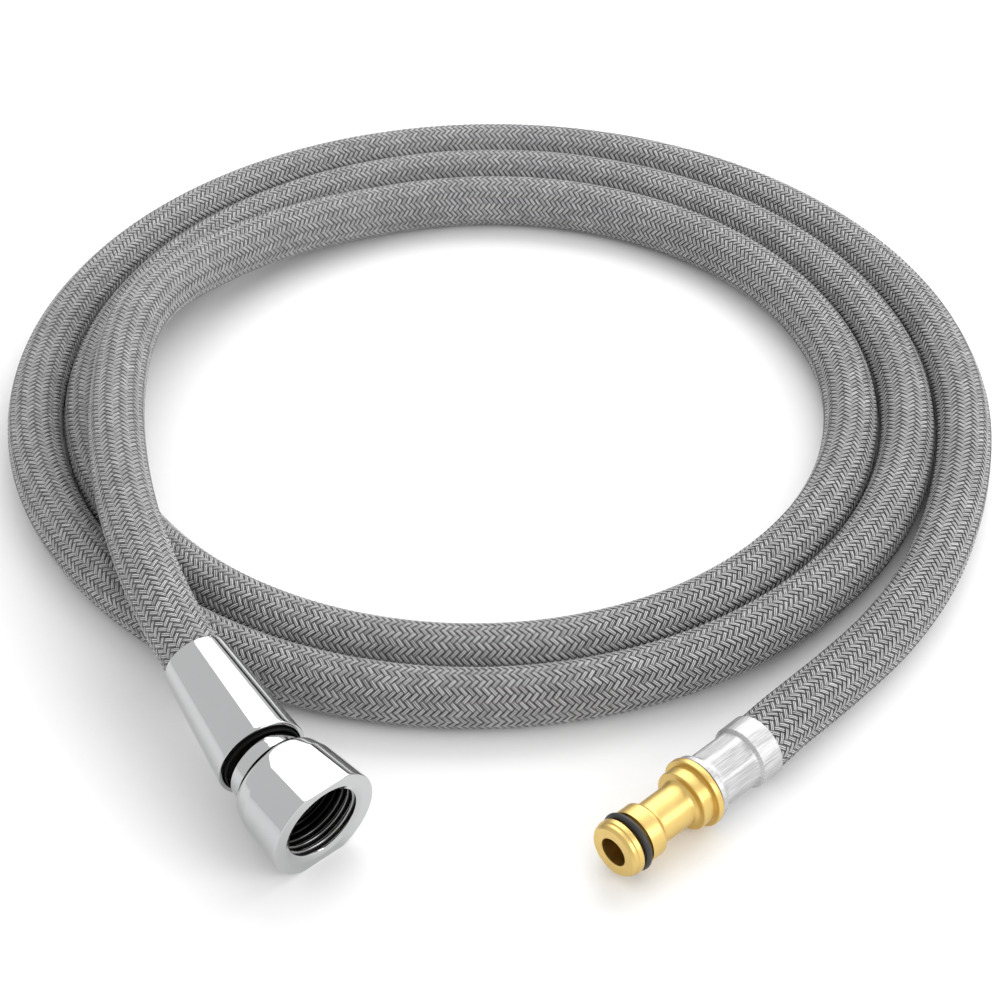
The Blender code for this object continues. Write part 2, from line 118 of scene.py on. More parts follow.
NUT_DIRECTION = Vector(NUT_AXIS).normalized()
BALL_CENTRE = plan_to_world(NUT_FACE_CENTRE) - NUT_DIRECTION * BALL_DEPTH
SLEEVE_DIRECTION = (BALL_CENTRE - plan_to_world(SLEEVE_NARROW_END)).normalized()
NUT_FRAME = axis_frame(BALL_CENTRE, NUT_DIRECTION)
SLEEVE_FRAME = axis_frame(BALL_CENTRE, SLEEVE_DIRECTION)
PLUG_FRAME = axis_frame(plan_to_world((*PLUG_NOSE_CENTRE, FLANGE_RADIUS / HOSE_OD)), PLUG_AXIS)


# ---- the hose's route ----------------------------------------------------------------------------

def coil_points():
    """The turns that lie flat: a spiral that widens evenly."""
    points = []
    for step in range(COIL_FIRST_STEP, COIL_LAST_STEP + 1):
        turn = step / COIL_STEPS_PER_TURN
        radius = COIL_START_RADIUS + COIL_PITCH * turn
        points.append((COIL_CENTRE[0] - radius * math.cos(math.tau * turn),
                       COIL_CENTRE[1] + radius * math.sin(math.tau * turn),
                       RESTING_HEIGHT))
    return points


def hose_route():
    """From inside the sleeve over the coil, round with its turns, and out to the plug."""
    narrow_end = plan_to_world(SLEEVE_NARROW_END)
    start = BALL_CENTRE - SLEEVE_DIRECTION * HOSE_START
    route = [start, start.lerp(narrow_end, 0.5), narrow_end]
    route += [plan_to_world(point) for point in LEAD_IN + coil_points() + LEAD_OUT]
    for depth in (HOSE_END_DEPTH + HOSE_END_STRAIGHT, HOSE_END_DEPTH):
        route.append(PLUG_FRAME @ Vector((0.0, 0.0, -depth)))
    return route


def smooth_curve(route, spacing):
    """Cubic through the route's points, read at an even spacing; rows of x, y, z."""
    points = np.array([tuple(place) for place in route])
    steps = np.diff(points, axis=0)
    lengths = np.linalg.norm(steps, axis=1)
    units = steps / lengths[:, None]
    slopes = np.empty_like(points)
    slopes[0], slopes[-1] = units[0], units[-1]
    before, after = lengths[:-1, None], lengths[1:, None]
    slopes[1:-1] = (units[:-1] * after + units[1:] * before) / (before + after)
    dense = []
    for index, length in enumerate(lengths):
        t = np.linspace(0.0, 1.0, STEPS_BETWEEN_POINTS, endpoint=False)[:, None]
        dense.append((2 * t**3 - 3 * t**2 + 1) * points[index]
                     + (t**3 - 2 * t**2 + t) * length * slopes[index]
                     + (3 * t**2 - 2 * t**3) * points[index + 1]
                     + (t**3 - t**2) * length * slopes[index + 1])
    dense = np.vstack(dense + [points[-1:]])
    dense[:, 2] = np.maximum(dense[:, 2], RESTING_HEIGHT * HOSE_OD)
    travelled = np.concatenate([[0.0], np.cumsum(np.linalg.norm(np.diff(dense, axis=0), axis=1))])
    count = int(round(travelled[-1] / spacing)) + 1
    even = np.linspace(0.0, travelled[-1], count)
    return np.column_stack([np.interp(even, travelled, dense[:, axis]) for axis in range(3)])


def carried_frames(path):
    """At each point of the path: a tangent and a side direction that turns as little as it can."""
    tangents = np.gradient(path, axis=0)
    tangents /= np.linalg.norm(tangents, axis=1)[:, None]
    sides = np.empty_like(path)
    side = np.cross(tangents[0], (0.0, 0.0, 1.0))
    for index, tangent in enumerate(tangents):
        side = side - tangent * (side @ tangent)
        side /= np.linalg.norm(side)
        sides[index] = side
    return tangents, sides, np.cross(tangents, sides)


# ---- mesh helpers --------------------------------------------------------------------------------

def mesh_object(name, vertices, quads):
    """A smooth-shaded mesh from rows of x, y, z and rows of four vertex numbers."""
    mesh = bpy.data.meshes.new(name)
    mesh.vertices.add(len(vertices))
    mesh.vertices.foreach_set("co", np.asarray(vertices, np.float32).ravel())
    quads = np.asarray(quads, np.int32)
    mesh.loops.add(quads.size)
    mesh.loops.foreach_set("vertex_index", quads.ravel())
    mesh.polygons.add(len(quads))
    mesh.polygons.foreach_set("loop_start", np.arange(0, quads.size, 4, dtype=np.int32))
    mesh.update(calc_edges=True)
    mesh.polygons.foreach_set("use_smooth", np.ones(len(quads), bool))
    obj = bpy.data.objects.new(name, mesh)
    bpy.context.scene.collection.objects.link(obj)
    return obj


# ---- camera --------------------------------------------------------------------------------------

def make_camera():
    """In front of the object and above it, looking down at it through a long lens."""
    data = bpy.data.cameras.new("camera")
    data.lens = CAMERA_LENS
    data.sensor_width = 36.0
    data.clip_start = 0.01
    camera = bpy.data.objects.new("camera", data)
    camera.location = plan_to_world(CAMERA_PLACE)
    camera.rotation_euler = (math.radians(90.0 - CAMERA_PITCH_DOWN), 0.0, 0.0)
    bpy.context.scene.collection.objects.link(camera)
    bpy.context.scene.camera = camera


# ---- the woven jacket ----------------------------------------------------------------------------

def braid_lattice(path_length):
    """A two-over-two-under braid: each vertex's place along both hands of yarn, its height, and the quads.

    Yarns of one hand run along a, those of the other along b. A cell is one crossing, three by three
    quads: a narrow dip along its edges and a raised middle. The column p = a - b says which yarn is on
    top, so floats two cells long stand in lengthwise columns that lean left and right by turns.
    """
    splits = CELL_SPLITS
    shares = np.array([0.0, DIP_WIDTH, 1.0 - DIP_WIDTH])
    rows = splits * int(path_length / (BRAID_PITCH / 2.0)) - 1
    half_round = BRAID_COLUMNS * splits // 2
    row, place = np.meshgrid(np.arange(rows), np.arange(half_round), indexing="ij")
    p_fine = 2 * place + (row % 2)
    a_fine = (row + p_fine) // 2
    b_fine = (row - p_fine) // 2
    a_share, b_share = a_fine % splits, b_fine % splits
    a = a_fine // splits + shares[a_share]
    b = b_fine // splits + shares[b_share]
    column = (a_fine // splits - b_fine // splits) % 4

    height = np.zeros(row.shape)
    inside = (a_share > 0) & (b_share > 0)
    a_on_top = column < 2
    near_start = np.where(a_on_top, a_share, b_share) == 1
    first_cell = np.where(a_on_top, column == 0, column == 3)
    at_float_end = near_start == first_cell
    height[inside] = np.where(at_float_end, FLOAT_END_HEIGHT, 1.0)[inside]
    a_joint = (a_share == 0) & (b_share > 0) & (column == 1)
    b_joint = (b_share == 0) & (a_share > 0) & (column == 2)
    height[a_joint | b_joint] = 1.0

    # One quad above each vertex that has a full diamond above it.
    lower, spot = np.meshgrid(np.arange(rows - 2), np.arange(half_round), indexing="ij")
    odd = lower % 2
    right = (spot + odd) % half_round
    left = (spot + odd - 1) % half_round
    corners = np.stack([lower * half_round + spot,
                        (lower + 1) * half_round + right,
                        (lower + 2) * half_round + spot,
                        (lower + 1) * half_round + left], axis=-1).reshape(-1, 4)
    return a, b, height, corners, (lower, spot)


def braid_texture_coordinates(lower, spot):
    """For each quad's corners: place across and along the yarn on top, and a number for its float."""
    splits = CELL_SPLITS
    shares = np.array([0.0, DIP_WIDTH, 1.0 - DIP_WIDTH, 1.0])
    p_fine = 2 * spot + (lower % 2)
    a_fine, b_fine = (lower + p_fine) // 2, (lower - p_fine) // 2
    a_cell, b_cell = a_fine // splits, b_fine // splits
    a_on_top = (a_cell - b_cell) % 4 < 2
    second_cell = np.where(a_on_top, (a_cell - b_cell) % 4 == 1, (a_cell - b_cell) % 4 == 2)
    across, along = [], []
    for a_step, b_step in ((0, 0), (1, 0), (1, 1), (0, 1)):
        a_place = shares[a_fine % splits + a_step]
        b_place = shares[b_fine % splits + b_step]
        across.append(np.where(a_on_top, b_place, a_place))
        along.append((np.where(a_on_top, a_place, b_place) + second_cell) / 2.0)
    float_a = np.where(a_on_top, a_cell - second_cell, a_cell)
    float_b = np.where(a_on_top, b_cell, b_cell - second_cell)
    # Two small whole numbers that stay the same over one float, whichever way round the hose it is named.
    name_u = (float_a - float_b) % BRAID_COLUMNS
    name_v = (float_a + float_b) % FLOAT_NAMES
    return np.stack(across, -1), np.stack(along, -1), name_u, name_v


def make_braid(path):
    """The flat lattice wrapped round the hose's path, with the material's coordinates as UV maps."""
    tangents, sides, ups = carried_frames(path)
    travelled = np.concatenate([[0.0], np.cumsum(np.linalg.norm(np.diff(path, axis=0), axis=1))])
    a, b, height, corners, (lower, spot) = braid_lattice(travelled[-1])
    turn = (a - b) * math.tau / BRAID_COLUMNS
    travel = (a + b) * BRAID_PITCH / 2.0
    travel = np.clip(travel - travel.min(), 0.0, travelled[-1])
    radius = HOSE_OD / 2.0 - RIBBON_CROWN * (1.0 - height)
    turn, travel, radius = turn.reshape(-1, 1), travel.ravel(), radius.reshape(-1, 1)

    def at_travel(rows):
        return np.column_stack([np.interp(travel, travelled, rows[:, axis]) for axis in range(3)])

    around = at_travel(sides) * np.cos(turn) + at_travel(ups) * np.sin(turn)
    braid = mesh_object("braided_jacket", at_travel(path) + around * radius, corners)

    across, along, name_u, name_v = braid_texture_coordinates(lower, spot)
    yarn_uv = braid.data.uv_layers.new(name="yarn")
    yarn_uv.uv.foreach_set("vector", np.stack([across, along], -1).astype(np.float32).ravel())
    float_uv = braid.data.uv_layers.new(name="float")
    names = np.stack([name_u, name_v], -1).astype(np.float32)[:, :, None, :]
    float_uv.uv.foreach_set("vector", np.broadcast_to(names, (*name_u.shape, 4, 2)).ravel())
    return braid


# ---- turned pieces -------------------------------------------------------------------------------

FILLET_STEPS = 5
MOST_OF_A_SIDE = 0.48                # a fillet takes no more than this of either side
SHARP_ANGLE = 40.0                   # degrees; an edge sharper than this is shaded as one


def rounded_outline(corners):
    """A closed outline from (radius, height, fillet) corners; a fillet of 0 keeps the corner sharp."""
    count = len(corners)
    outline = []
    for index, (radius, height, fillet) in enumerate(corners):
        here = np.array((radius, height))
        if fillet <= 0.0:
            outline.append(here)
            continue
        before = np.array(corners[index - 1][:2]) - here
        after = np.array(corners[(index + 1) % count][:2]) - here
        reach_before, reach_after = np.linalg.norm(before), np.linalg.norm(after)
        before /= reach_before
        after /= reach_after
        half_angle = math.acos(np.clip(before @ after, -1.0, 1.0)) / 2.0
        longest = MOST_OF_A_SIDE * min(reach_before, reach_after)
        reach = min(fillet / math.tan(half_angle), longest)
        start, end = here + before * reach, here + after * reach
        for step in range(FILLET_STEPS + 1):
            t = step / FILLET_STEPS
            outline.append((1 - t) ** 2 * start + 2 * t * (1 - t) * here + t ** 2 * end)
    return np.array(outline)


def dense_outline(outline, longest):
    """Adds points so that no step of a closed outline is longer than that."""
    points = []
    for here, after in zip(outline, np.roll(outline, -1, axis=0)):
        pieces = max(1, math.ceil(np.linalg.norm(after - here) / longest))
        for piece in range(pieces):
            points.append(here + (after - here) * piece / pieces)
    return np.array(points)


def turned_piece(name, outline, frame_matrix, segments=160, reshape=None):
    """A closed outline of radius and height, top to bottom on the outside, turned about local Z.

    reshape, if given, takes radius, height and angle and returns the new radius.
    """
    count = len(outline)
    angle = np.arange(segments) * math.tau / segments
    radius = np.repeat(outline[:, :1], segments, axis=1)
    height = np.repeat(outline[:, 1:], segments, axis=1)
    angles = np.repeat(angle[None, :], count, axis=0)
    if reshape is not None:
        radius = reshape(radius, height, angles)
    vertices = np.stack([radius * np.cos(angles), radius * np.sin(angles), height], -1).reshape(-1, 3)
    row, column = np.meshgrid(np.arange(count), np.arange(segments), indexing="ij")
    next_row, next_column = (row + 1) % count, (column + 1) % segments
    quads = np.stack([row * segments + column, next_row * segments + column,
                      next_row * segments + next_column, row * segments + next_column], -1).reshape(-1, 4)
    piece = mesh_object(name, vertices, quads)
    piece.matrix_world = frame_matrix
    piece.data.set_sharp_from_angle(angle=math.radians(SHARP_ANGLE))
    return piece


def soft_minimum(first, second, blend):
    """The smaller of two lengths, with the corner between them rounded over that length."""
    share = np.clip(0.5 + 0.5 * (second - first) / blend, 0.0, 1.0)
    return second * (1.0 - share) + first * share - blend * share * (1.0 - share)


# ---- nut -----------------------------------------------------------------------------------------

NUT_FACE = BALL_DEPTH
NUT_LENGTH = 21.8 * MM
NUT_FACE_RADIUS = 13.9 * MM
NUT_SHOULDER_RADIUS = 12.75 * MM
NUT_SHOULDER_DEPTH = 12.6 * MM
NUT_HALF_FLATS = 12.45 * MM          # from the axis to each spanner flat, at the face
NUT_FLAT_TAPER = 0.068               # how much nearer the axis a flat gets per unit of depth
THREAD_MINOR_RADIUS = 9.3 * MM
THREAD_MAJOR_RADIUS = 10.48 * MM
THREAD_PITCH = 25.4 * MM / 14.0
THREAD_MOUTH_RADIUS = 10.7 * MM
THREAD_DEPTH = 10.2 * MM
THREAD_START = 0.6 * MM
THREAD_RUN_OUT = 0.6                 # turns over which the thread fades at its inner end
THREAD_ROW = 0.075 * MM              # between the rows of vertices that carry the thread
DARKEST_SHADE_DEPTH = 7.0 * MM             # into the bore, where the painted shade is at its darkest
# near-black painted shade deep in the bore
PAINTED_BORE_SHADE = (0.012, 0.012, 0.012, 1.0)
CHAMBER_RADIUS = 8.05 * MM
CHAMBER_DEPTH = 14.3 * MM
REAR_HOLE_RADIUS = 7.35 * MM
REAR_LIP = 0.9 * MM
OUTSIDE_DEPTH = 18.0 * MM            # from the face to the step at the rear collar
FLAT_ROUNDING = 0.35 * MM            # where a flat meets the cone
LEAST_SINE = 0.05                    # keeps the flats' radius finite beside the axis
TOLERANCE = 0.01 * MM
BORE_FINISH_DEPTH = 0.9 * MM         # where the bright edge of the mouth ends


def nut_shape(radius, height, angle):
    """Moves the turned nut's vertices: two tapering spanner flats outside, a helical thread inside.

    The face's rows are spread out again between the mouth and the cut edge, so they never cross.
    """
    depth = NUT_FACE - height
    up = np.abs(np.sin(angle))
    flat = (NUT_HALF_FLATS - NUT_FLAT_TAPER * depth) / np.maximum(up, LEAST_SINE)
    on_face = (depth < TOLERANCE) & (radius > THREAD_MOUTH_RADIUS)
    edge = soft_minimum(np.full_like(radius, NUT_FACE_RADIUS), flat, FLAT_ROUNDING)
    share = (radius - THREAD_MOUTH_RADIUS) / (NUT_FACE_RADIUS - THREAD_MOUTH_RADIUS)
    on_side = (radius > THREAD_MOUTH_RADIUS) & (depth < OUTSIDE_DEPTH) & ~on_face
    shaped = np.where(on_side, soft_minimum(radius, flat, FLAT_ROUNDING), radius)
    shaped = np.where(on_face, THREAD_MOUTH_RADIUS + share * (edge - THREAD_MOUTH_RADIUS), shaped)

    in_thread = (np.abs(radius - THREAD_MINOR_RADIUS) < TOLERANCE) & (depth < THREAD_DEPTH)
    phase = (depth / THREAD_PITCH + angle / math.tau) % 1.0
    groove = 0.5 - 0.5 * np.cos(math.tau * phase)
    run_out = np.clip((THREAD_DEPTH - depth) / (THREAD_RUN_OUT * THREAD_PITCH), 0.0, 1.0)
    return shaped + np.where(in_thread, (THREAD_MAJOR_RADIUS - THREAD_MINOR_RADIUS) * groove * run_out, 0.0)


def make_nut():
    rear = NUT_FACE - NUT_LENGTH
    corners = [
        (THREAD_MOUTH_RADIUS, NUT_FACE, 0.12 * MM),
        (NUT_FACE_RADIUS, NUT_FACE, 0.35 * MM),
        (NUT_SHOULDER_RADIUS, NUT_FACE - NUT_SHOULDER_DEPTH, 3.0 * MM),
        (11.75 * MM, NUT_FACE - 16.2 * MM, 3.0 * MM),
        (10.45 * MM, NUT_FACE - 17.75 * MM, 0.2 * MM),
        (9.85 * MM, NUT_FACE - 17.95 * MM, 0.1 * MM),
        (9.75 * MM, NUT_FACE - 18.35 * MM, 0.2 * MM),
        (9.60 * MM, NUT_FACE - 19.2 * MM, 1.5 * MM),
        (9.08 * MM, rear, 0.25 * MM),
        (REAR_HOLE_RADIUS, rear, 0.15 * MM),
        (REAR_HOLE_RADIUS, rear + REAR_LIP, 0.0),
        (CHAMBER_RADIUS, rear + REAR_LIP, 0.0),
        (CHAMBER_RADIUS, NUT_FACE - CHAMBER_DEPTH, 0.0),
        (THREAD_MINOR_RADIUS, NUT_FACE - CHAMBER_DEPTH, 0.0),
    ]
    for depth in np.arange(THREAD_DEPTH + 0.3 * MM, THREAD_START, -THREAD_ROW):
        corners.append((THREAD_MINOR_RADIUS, NUT_FACE - depth, 0.0))
    outline = dense_outline(rounded_outline(corners), 0.3 * MM)
    return turned_piece("conical_swivel_nut", outline, NUT_FRAME, segments=288, reshape=nut_shape)


def darken_bore(nut, finish):
    """Gives the thread and the chamber behind it their own, duller finish, painted darker with shade that
    deepens into the bore.
    """
    nut.data.materials.append(finish)
    for face in nut.data.polygons:
        x, y, z = face.center
        faces_inwards = face.normal.x * x + face.normal.y * y <= 0.0
        below_mouth = z < NUT_FACE - BORE_FINISH_DEPTH
        if below_mouth and faces_inwards and math.hypot(x, y) < THREAD_MOUTH_RADIUS:
            face.material_index = 1


# ---- sleeve and black ring -----------------------------------------------------------------------

SLEEVE_MOUTH = 4.75 * MM             # behind the ball's centre
SLEEVE_WIDE_RADIUS = 10.94 * MM
SLEEVE_NARROW_RADIUS = 8.32 * MM
SLEEVE_NARROW_BORE = 7.65 * MM


def make_sleeve():
    """A thin cone, wide at the nut, closing round the hose at its narrow end."""
    end = (plan_to_world(SLEEVE_NARROW_END) - BALL_CENTRE).length
    corners = [
        (SLEEVE_WIDE_RADIUS, -SLEEVE_MOUTH, 0.4 * MM),
        (SLEEVE_NARROW_RADIUS, -end, 0.25 * MM),
        (SLEEVE_NARROW_BORE, -end, 0.1 * MM),
        (SLEEVE_NARROW_BORE, -end + 4.0 * MM, 0.0),
        (8.95 * MM, -20.0 * MM, 0.0),
        (9.79 * MM, -9.75 * MM, 0.0),
        (9.79 * MM, -SLEEVE_MOUTH, 0.3 * MM),
    ]
    outline = dense_outline(rounded_outline(corners), 1.0 * MM)
    return turned_piece("polished_sleeve", outline, SLEEVE_FRAME, segments=256)


def make_neck_ring():
    """The ring in the sleeve's mouth; its face at stop is where the leaning nut's rim would land."""
    stop = -5.45 * MM
    corners = [
        (9.5 * MM, -3.9 * MM, 0.12 * MM), (9.5 * MM, -8.2 * MM, 0.0), (5.0 * MM, -8.2 * MM, 0.0),
        (5.0 * MM, stop, 0.2 * MM), (8.7 * MM, stop, 0.2 * MM), (9.2 * MM, -3.9 * MM, 0.12 * MM),
    ]
    outline = dense_outline(rounded_outline(corners), 0.5 * MM)
    return turned_piece("black_neck_ring", outline, SLEEVE_FRAME)


def make_washer():
    top, bottom = NUT_FACE - THREAD_DEPTH, NUT_FACE - 12.0 * MM
    corners = [(9.0 * MM, top, 0.2 * MM), (9.0 * MM, bottom, 0.2 * MM),
               (5.2 * MM, bottom, 0.2 * MM), (5.2 * MM, top, 0.2 * MM)]
    outline = dense_outline(rounded_outline(corners), 0.4 * MM)
    return turned_piece("flat_washer", outline, NUT_FRAME, segments=128)


# ---- valve end -----------------------------------------------------------------------------------

def make_plug():
    """Heights run from 0 at the nose's tip back into the hose."""
    nose = [
        (6.0 * MM, 0.0, 0.15 * MM), (6.55 * MM, -0.7 * MM, 0.1 * MM), (6.55 * MM, -1.5 * MM, 0.05 * MM),
        (6.86 * MM, -1.75 * MM, 0.12 * MM), (6.86 * MM, -3.0 * MM, 0.12 * MM),
    ]
    seal_groove = [(5.5 * MM, -3.0 * MM, 0.1 * MM), (5.5 * MM, -6.2 * MM, 0.1 * MM)]
    neck = [
        (6.57 * MM, -6.2 * MM, 0.15 * MM), (6.57 * MM, -10.3 * MM, 0.9 * MM),
        (5.26 * MM, -11.2 * MM, 0.8 * MM), (5.26 * MM, -21.6 * MM, 1.1 * MM),
    ]
    collar_and_flange = [
        (7.3 * MM, -21.8 * MM, 0.35 * MM), (7.3 * MM, -25.3 * MM, 0.1 * MM),
        (FLANGE_RADIUS, -25.3 * MM, 0.3 * MM), (FLANGE_RADIUS, -26.9 * MM, 0.3 * MM),
    ]
    tail = [(3.2 * MM, -26.9 * MM, 0.0), (3.2 * MM, -41.0 * MM, 0.0), (2.4 * MM, -41.0 * MM, 0.0)]
    bore = [(2.4 * MM, -13.0 * MM, 0.0), (3.5 * MM, -12.0 * MM, 0.0), (3.5 * MM, 0.0, 0.25 * MM)]
    corners = nose + seal_groove + neck + collar_and_flange + tail + bore
    outline = dense_outline(rounded_outline(corners), 0.5 * MM)
    return turned_piece("brass_plug", outline, PLUG_FRAME, segments=192)


RING_STEPS = 28


def ring_outline(centre_radius, centre_height, tube_radius):
    """The round section of a seal."""
    angle = -np.arange(RING_STEPS) * math.tau / RING_STEPS
    return np.column_stack([centre_radius + tube_radius * np.cos(angle),
                            centre_height + tube_radius * np.sin(angle)])


def make_plug_seal():
    return turned_piece("nose_o_ring", ring_outline(6.38 * MM, -4.6 * MM, 0.87 * MM), PLUG_FRAME)


CRIMP_FLATS = 8
CRIMP_FLAT_RADIUS = 6.62 * MM
CRIMP_START = -29.4 * MM
CRIMP_END = -41.0 * MM
CRIMP_START_EASE = 0.8 * MM          # how far in from that end the flats are fully pressed
CRIMP_END_EASE = 1.2 * MM
FERRULE_INSIDE = 6.6 * MM            # whatever is nearer the axis than this is not crimped


def ferrule_shape(radius, height, angle):
    """Eight crimp flats on the body, easing off at both its ends."""
    sector = math.tau / CRIMP_FLATS
    from_flat = angle % sector - sector / 2.0
    flat = CRIMP_FLAT_RADIUS / np.cos(from_flat)
    on_body = (radius > FERRULE_INSIDE) & (height < CRIMP_START) & (height > CRIMP_END)
    rise = np.clip((height - CRIMP_END) / CRIMP_END_EASE, 0.0, 1.0)
    ease = rise * np.clip((CRIMP_START - height) / CRIMP_START_EASE, 0.0, 1.0)
    pressed = soft_minimum(radius, flat, 0.15 * MM)
    return np.where(on_body, radius + (pressed - radius) * ease, radius)


def make_ferrule():
    corners = [
        (8.03 * MM, -27.3 * MM, 0.15 * MM), (8.03 * MM, -28.6 * MM, 0.15 * MM),
        (7.05 * MM, -28.9 * MM, 0.1 * MM), (6.95 * MM, -29.3 * MM, 0.2 * MM),
        (6.98 * MM, -40.6 * MM, 0.35 * MM), (7.75 * MM, -41.3 * MM, 0.3 * MM),
        (7.86 * MM, -47.2 * MM, 0.25 * MM), (7.45 * MM, -47.2 * MM, 0.1 * MM),
        (7.45 * MM, -42.6 * MM, 0.0), (6.3 * MM, -40.6 * MM, 0.0),
        (6.3 * MM, -28.3 * MM, 0.0), (3.6 * MM, -28.3 * MM, 0.0), (3.6 * MM, -27.3 * MM, 0.0),
    ]
    outline = dense_outline(rounded_outline(corners), 0.4 * MM)
    return turned_piece("crimped_ferrule", outline, PLUG_FRAME, segments=256, reshape=ferrule_shape)


# ---- materials -----------------------------------------------------------------------------------

class Graph:
    """A Principled material's node tree, with short ways to add and link nodes."""

    def __init__(self, name, **values):
        self.material = bpy.data.materials.new(name)
        self.material.use_nodes = True
        self.tree = self.material.node_tree
        self.shader = self.tree.nodes["Principled BSDF"]
        for socket, value in values.items():
            self.shader.inputs[socket.replace("_", " ")].default_value = value

    def node(self, kind, inputs=None, **settings):
        made = self.tree.nodes.new(kind)
        for name, value in settings.items():
            setattr(made, name, value)
        for socket, value in (inputs or {}).items():
            if isinstance(value, bpy.types.NodeSocket):
                self.tree.links.new(value, made.inputs[socket])
            else:
                made.inputs[socket].default_value = value
        return made

    def math(self, operation, *values):
        return self.node("ShaderNodeMath", dict(enumerate(values)), operation=operation).outputs[0]

    def scaled(self, vector, scale):
        """The vector, with each axis stretched, so that a noise read there comes out as streaks."""
        mapping = self.node("ShaderNodeMapping", {"Vector": vector, "Scale": scale})
        return mapping.outputs["Vector"]

    def noise(self, vector, scale, detail=2.0, roughness=0.5):
        return self.node("ShaderNodeTexNoise", {"Vector": vector, "Scale": scale, "Detail": detail,
                                                "Roughness": roughness}).outputs["Fac"]

    def between(self, value, low, high, from_low=0.0, from_high=1.0):
        """The value, stretched from one range onto another and held inside it."""
        return self.node("ShaderNodeMapRange", {"Value": value, "From Min": from_low, "From Max": from_high,
                                                "To Min": low, "To Max": high}).outputs["Result"]

    def colour_mix(self, factor, first, second):
        """Between two colours; either may be a socket."""
        mix = self.node("ShaderNodeMix", data_type="RGBA")
        for socket, value in ((mix.inputs[0], factor), (mix.inputs[6], first), (mix.inputs[7], second)):
            if isinstance(value, bpy.types.NodeSocket):
                self.tree.links.new(value, socket)
            else:
                socket.default_value = value
        return mix.outputs[2]

    def bump(self, height, distance, strength=1.0):
        return self.node("ShaderNodeBump", {"Height": height, "Distance": distance,
                                            "Strength": strength}).outputs["Normal"]

    def feed(self, socket, value):
        self.tree.links.new(value, self.shader.inputs[socket])


def braid_material():
    """Grey nylon yarn: painted highlights along each float's filaments with painted shade between them, and
    painted black shade where two yarns meet side by side and where a float dives under.
    """
    graph = Graph("grey_nylon_braid", Sheen_Weight=0.12, Sheen_Roughness=0.5)
    yarn = graph.node("ShaderNodeUVMap", uv_map="yarn").outputs["UV"]
    name = graph.node("ShaderNodeUVMap", uv_map="float").outputs["UV"]
    places = graph.node("ShaderNodeSeparateXYZ", {"Vector": yarn})
    u, v = places.outputs["X"], places.outputs["Y"]
    place = graph.node("ShaderNodeTexCoord").outputs["Object"]
    float_noise = graph.node("ShaderNodeTexWhiteNoise", {"Vector": name}, noise_dimensions="2D")
    float_tone = float_noise.outputs["Value"]

    # Filament bundles side by side, wandering a little, each as bright as chance has it.
    wander = graph.math("MULTIPLY", graph.noise(place, 900.0), 0.10)
    lane = graph.math("MULTIPLY", graph.math("ADD", u, wander), FILAMENTS)
    filament = graph.math("SINE", graph.math("MULTIPLY", lane, math.tau))
    lane_number = graph.math("FLOOR", lane)
    lane_name = graph.math("ADD", lane_number, graph.math("MULTIPLY", float_tone, LANE_SPREAD))
    lane_noise = graph.node("ShaderNodeTexWhiteNoise", {"W": lane_name}, noise_dimensions="1D")
    lane_tone = lane_noise.outputs["Value"]

    # Roundness across the yarn (0 at its edges), and nearness to the float's two ends.
    across = graph.math("MULTIPLY", graph.math("MULTIPLY", u, graph.math("SUBTRACT", 1.0, u)), 4.0)
    along = graph.math("MULTIPLY", graph.math("MULTIPLY", v, graph.math("SUBTRACT", 1.0, v)), 4.0)
    # Painted shade: the yarn's edges are painted black and its float ends darker, where it meets or dives
    # under the next yarn.
    clear_of_sides = graph.between(across, 0.0, 1.0, 0.20, 0.55)
    clear_of_ends = graph.between(along, 0.25, 1.0, 0.0, 0.20)
    clear_of_painted_shade = graph.math("MULTIPLY", clear_of_sides, clear_of_ends)

    blotch = graph.noise(place, 45.0, 3.0)
    tone = graph.math("ADD", graph.between(float_tone, -0.05, 0.05), graph.between(blotch, -0.08, 0.08))
    # Painted highlight on each filament's crest and painted shade between filaments, with each lane's random
    # tone.
    painted_glint_and_lane_tone = graph.math("ADD", graph.math("MULTIPLY", filament, FILAMENT_GLINT),
                       graph.between(lane_tone, -0.16, 0.20))
    level = graph.math("ADD", graph.math("ADD", tone, painted_glint_and_lane_tone), BRAID_LEVEL)
    level = graph.node("ShaderNodeClamp", {"Value": level}).outputs["Result"]
    yarn_colour = graph.colour_mix(level, BRAID_PAINTED_SHADE, BRAID_PAINTED_HIGHLIGHT)
    # Base colour: painted shade in the gaps, over the yarn's painted highlights, painted shade and random
    # tone.
    graph.feed("Base Color", graph.colour_mix(clear_of_painted_shade, PAINTED_GAP_SHADE, yarn_colour))
    graph.feed("Roughness", graph.between(filament, 0.50, 0.34, -1.0, 1.0))
    rise = graph.math("ADD", graph.math("MULTIPLY", graph.math("POWER", across, 0.7), YARN_RISE),
                      graph.math("MULTIPLY", filament, FILAMENT_RISE))
    graph.feed("Normal", graph.bump(rise, BUMP_HEIGHT))
    return graph.material


def chrome_material():
    """Bright chromium: nearly clear reflections, with faint polishing haze and fine wiping marks."""
    graph = Graph("polished_chrome", Metallic=1.0)
    place = graph.node("ShaderNodeTexCoord").outputs["Object"]
    haze = graph.noise(place, 60.0, 4.0)
    scratches = graph.noise(graph.scaled(place, (2600.0, 2600.0, 90.0)), 1.0, 3.0)
    graph.feed("Roughness", graph.math("ADD", graph.between(haze, 0.02, 0.06),
                                       graph.between(scratches, 0.0, 0.03)))
    graph.feed("Base Color", graph.colour_mix(haze, (0.50, 0.505, 0.51, 1.0), (0.54, 0.545, 0.55, 1.0)))
    graph.feed("Normal", graph.bump(haze, 0.004 * MM, 0.3))
    return graph.material


